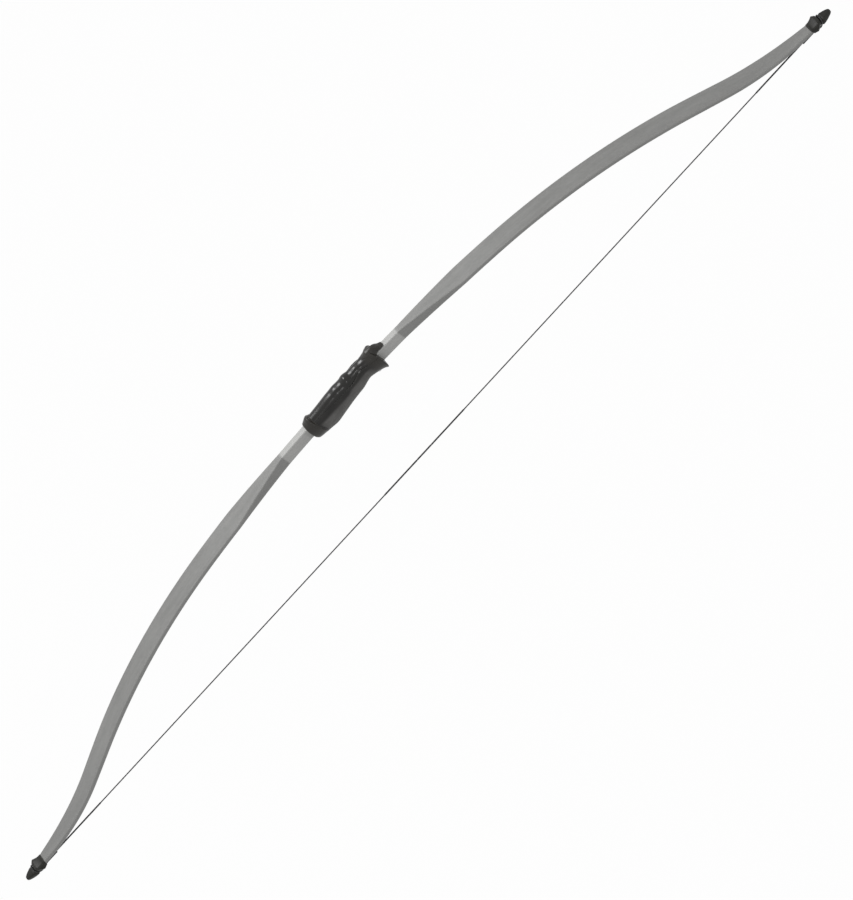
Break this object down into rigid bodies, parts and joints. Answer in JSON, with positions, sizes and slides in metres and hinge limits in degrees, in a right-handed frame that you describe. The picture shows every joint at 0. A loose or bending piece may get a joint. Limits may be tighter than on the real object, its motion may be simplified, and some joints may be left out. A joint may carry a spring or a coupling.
{
  "type": "recurve bow",
  "caption": "Strung one-piece recurve bow with a grey fibreglass stave, a glossy black moulded grip with a shelf, black tip caps and a dark served string that draws.",
  "frame": {"origin": "middle of the stave's depth and width at its centre, inside the grip", "axes": "+Z along the bow to the upper tip, +X from the grip to the string and the archer, -X to the target, Y across the limbs' width"},
  "size_m": [0.199, 0.0326, 1.5016],
  "materials": {
    "stave": "satin grey moulded fibreglass",
    "grip": "glossy black moulding",
    "pad": "matte black rubber strip",
    "screw": "zinc plated steel",
    "cap": "satin black moulding",
    "string": "waxed twisted polyester",
    "serving": "tightly wound nylon thread"
  },
  "bodies": {
    "handle": {"stave_centre": "stave", "grip_body": "grip", "grip_front": "grip", "lower_collar": "grip", "grip_screws": "screw", "front_pad": "pad", "rear_pad": "pad"},
    "upper_limb_body": {"upper_limb": "stave", "upper_tip_cap": "cap", "upper_loop": "string"},
    "lower_limb_body": {"lower_limb": "stave", "lower_tip_cap": "cap", "lower_loop": "string"},
    "nock_body": {"string_middle": "string", "centre_serving": "serving"},
    "upper_string_body": {"upper_strand": "string", "upper_end_serving": "serving", "upper_mid_serving": "serving"},
    "lower_string_body": {"lower_strand": "string", "lower_end_serving": "serving", "lower_mid_serving": "serving"},
    "upper_legs_body": {"upper_loop_legs": "string"},
    "lower_legs_body": {"lower_loop_legs": "string"}
  },
  "joints": [
    {"name": "upper_limb_flex", "type": "hinge", "parent": "handle", "child": "upper_limb_body", "pos_m": [0.00233, 0, 0.10846], "axis": [0, 1, 0], "range_deg": [0, 14.9], "stiffness_Nm_per_rad": 600},
    {"name": "lower_limb_flex", "type": "hinge", "parent": "handle", "child": "lower_limb_body", "pos_m": [0.00233, 0, -0.10846], "axis": [0, -1, 0], "range_deg": [0, 15]},
    {"name": "draw", "type": "slide", "parent": "handle", "child": "nock_body", "axis": [1, 0, 0], "range_m": [0, 0.455]},
    {"name": "upper_string_turn", "type": "hinge", "parent": "nock_body", "child": "upper_string_body", "pos_m": [0.17743, 0, 0.01415], "axis": [0, -1, 0], "range_deg": [0, 25]},
    {"name": "lower_string_turn", "type": "hinge", "parent": "nock_body", "child": "lower_string_body", "pos_m": [0.17743, 0, -0.01415], "axis": [0, 1, 0], "range_deg": [0, 25]},
    {"name": "upper_loop_turn", "type": "hinge", "parent": "upper_limb_body", "child": "upper_legs_body", "pos_m": [0.17743, 0, 0.72847], "axis": [0, -1, 0], "range_deg": [0, 40]},
    {"name": "lower_loop_turn", "type": "hinge", "parent": "lower_limb_body", "child": "lower_legs_body", "pos_m": [0.17743, 0, -0.72847], "axis": [0, 1, 0], "range_deg": [0, 40]}
  ],
  "couplings": [
    {"joint": "lower_limb_flex", "follows": "upper_limb_flex", "ratio": 1},
    {"joint": "draw", "follows": "upper_limb_flex", "m_per_rad": 1.7419},
    {"joint": "upper_string_turn", "follows": "upper_limb_flex", "ratio": 1.6636},
    {"joint": "lower_string_turn", "follows": "upper_limb_flex", "ratio": 1.6636},
    {"joint": "upper_loop_turn", "follows": "upper_limb_flex", "ratio": 2.6636},
    {"joint": "lower_loop_turn", "follows": "upper_limb_flex", "ratio": 2.6636}
  ]
}
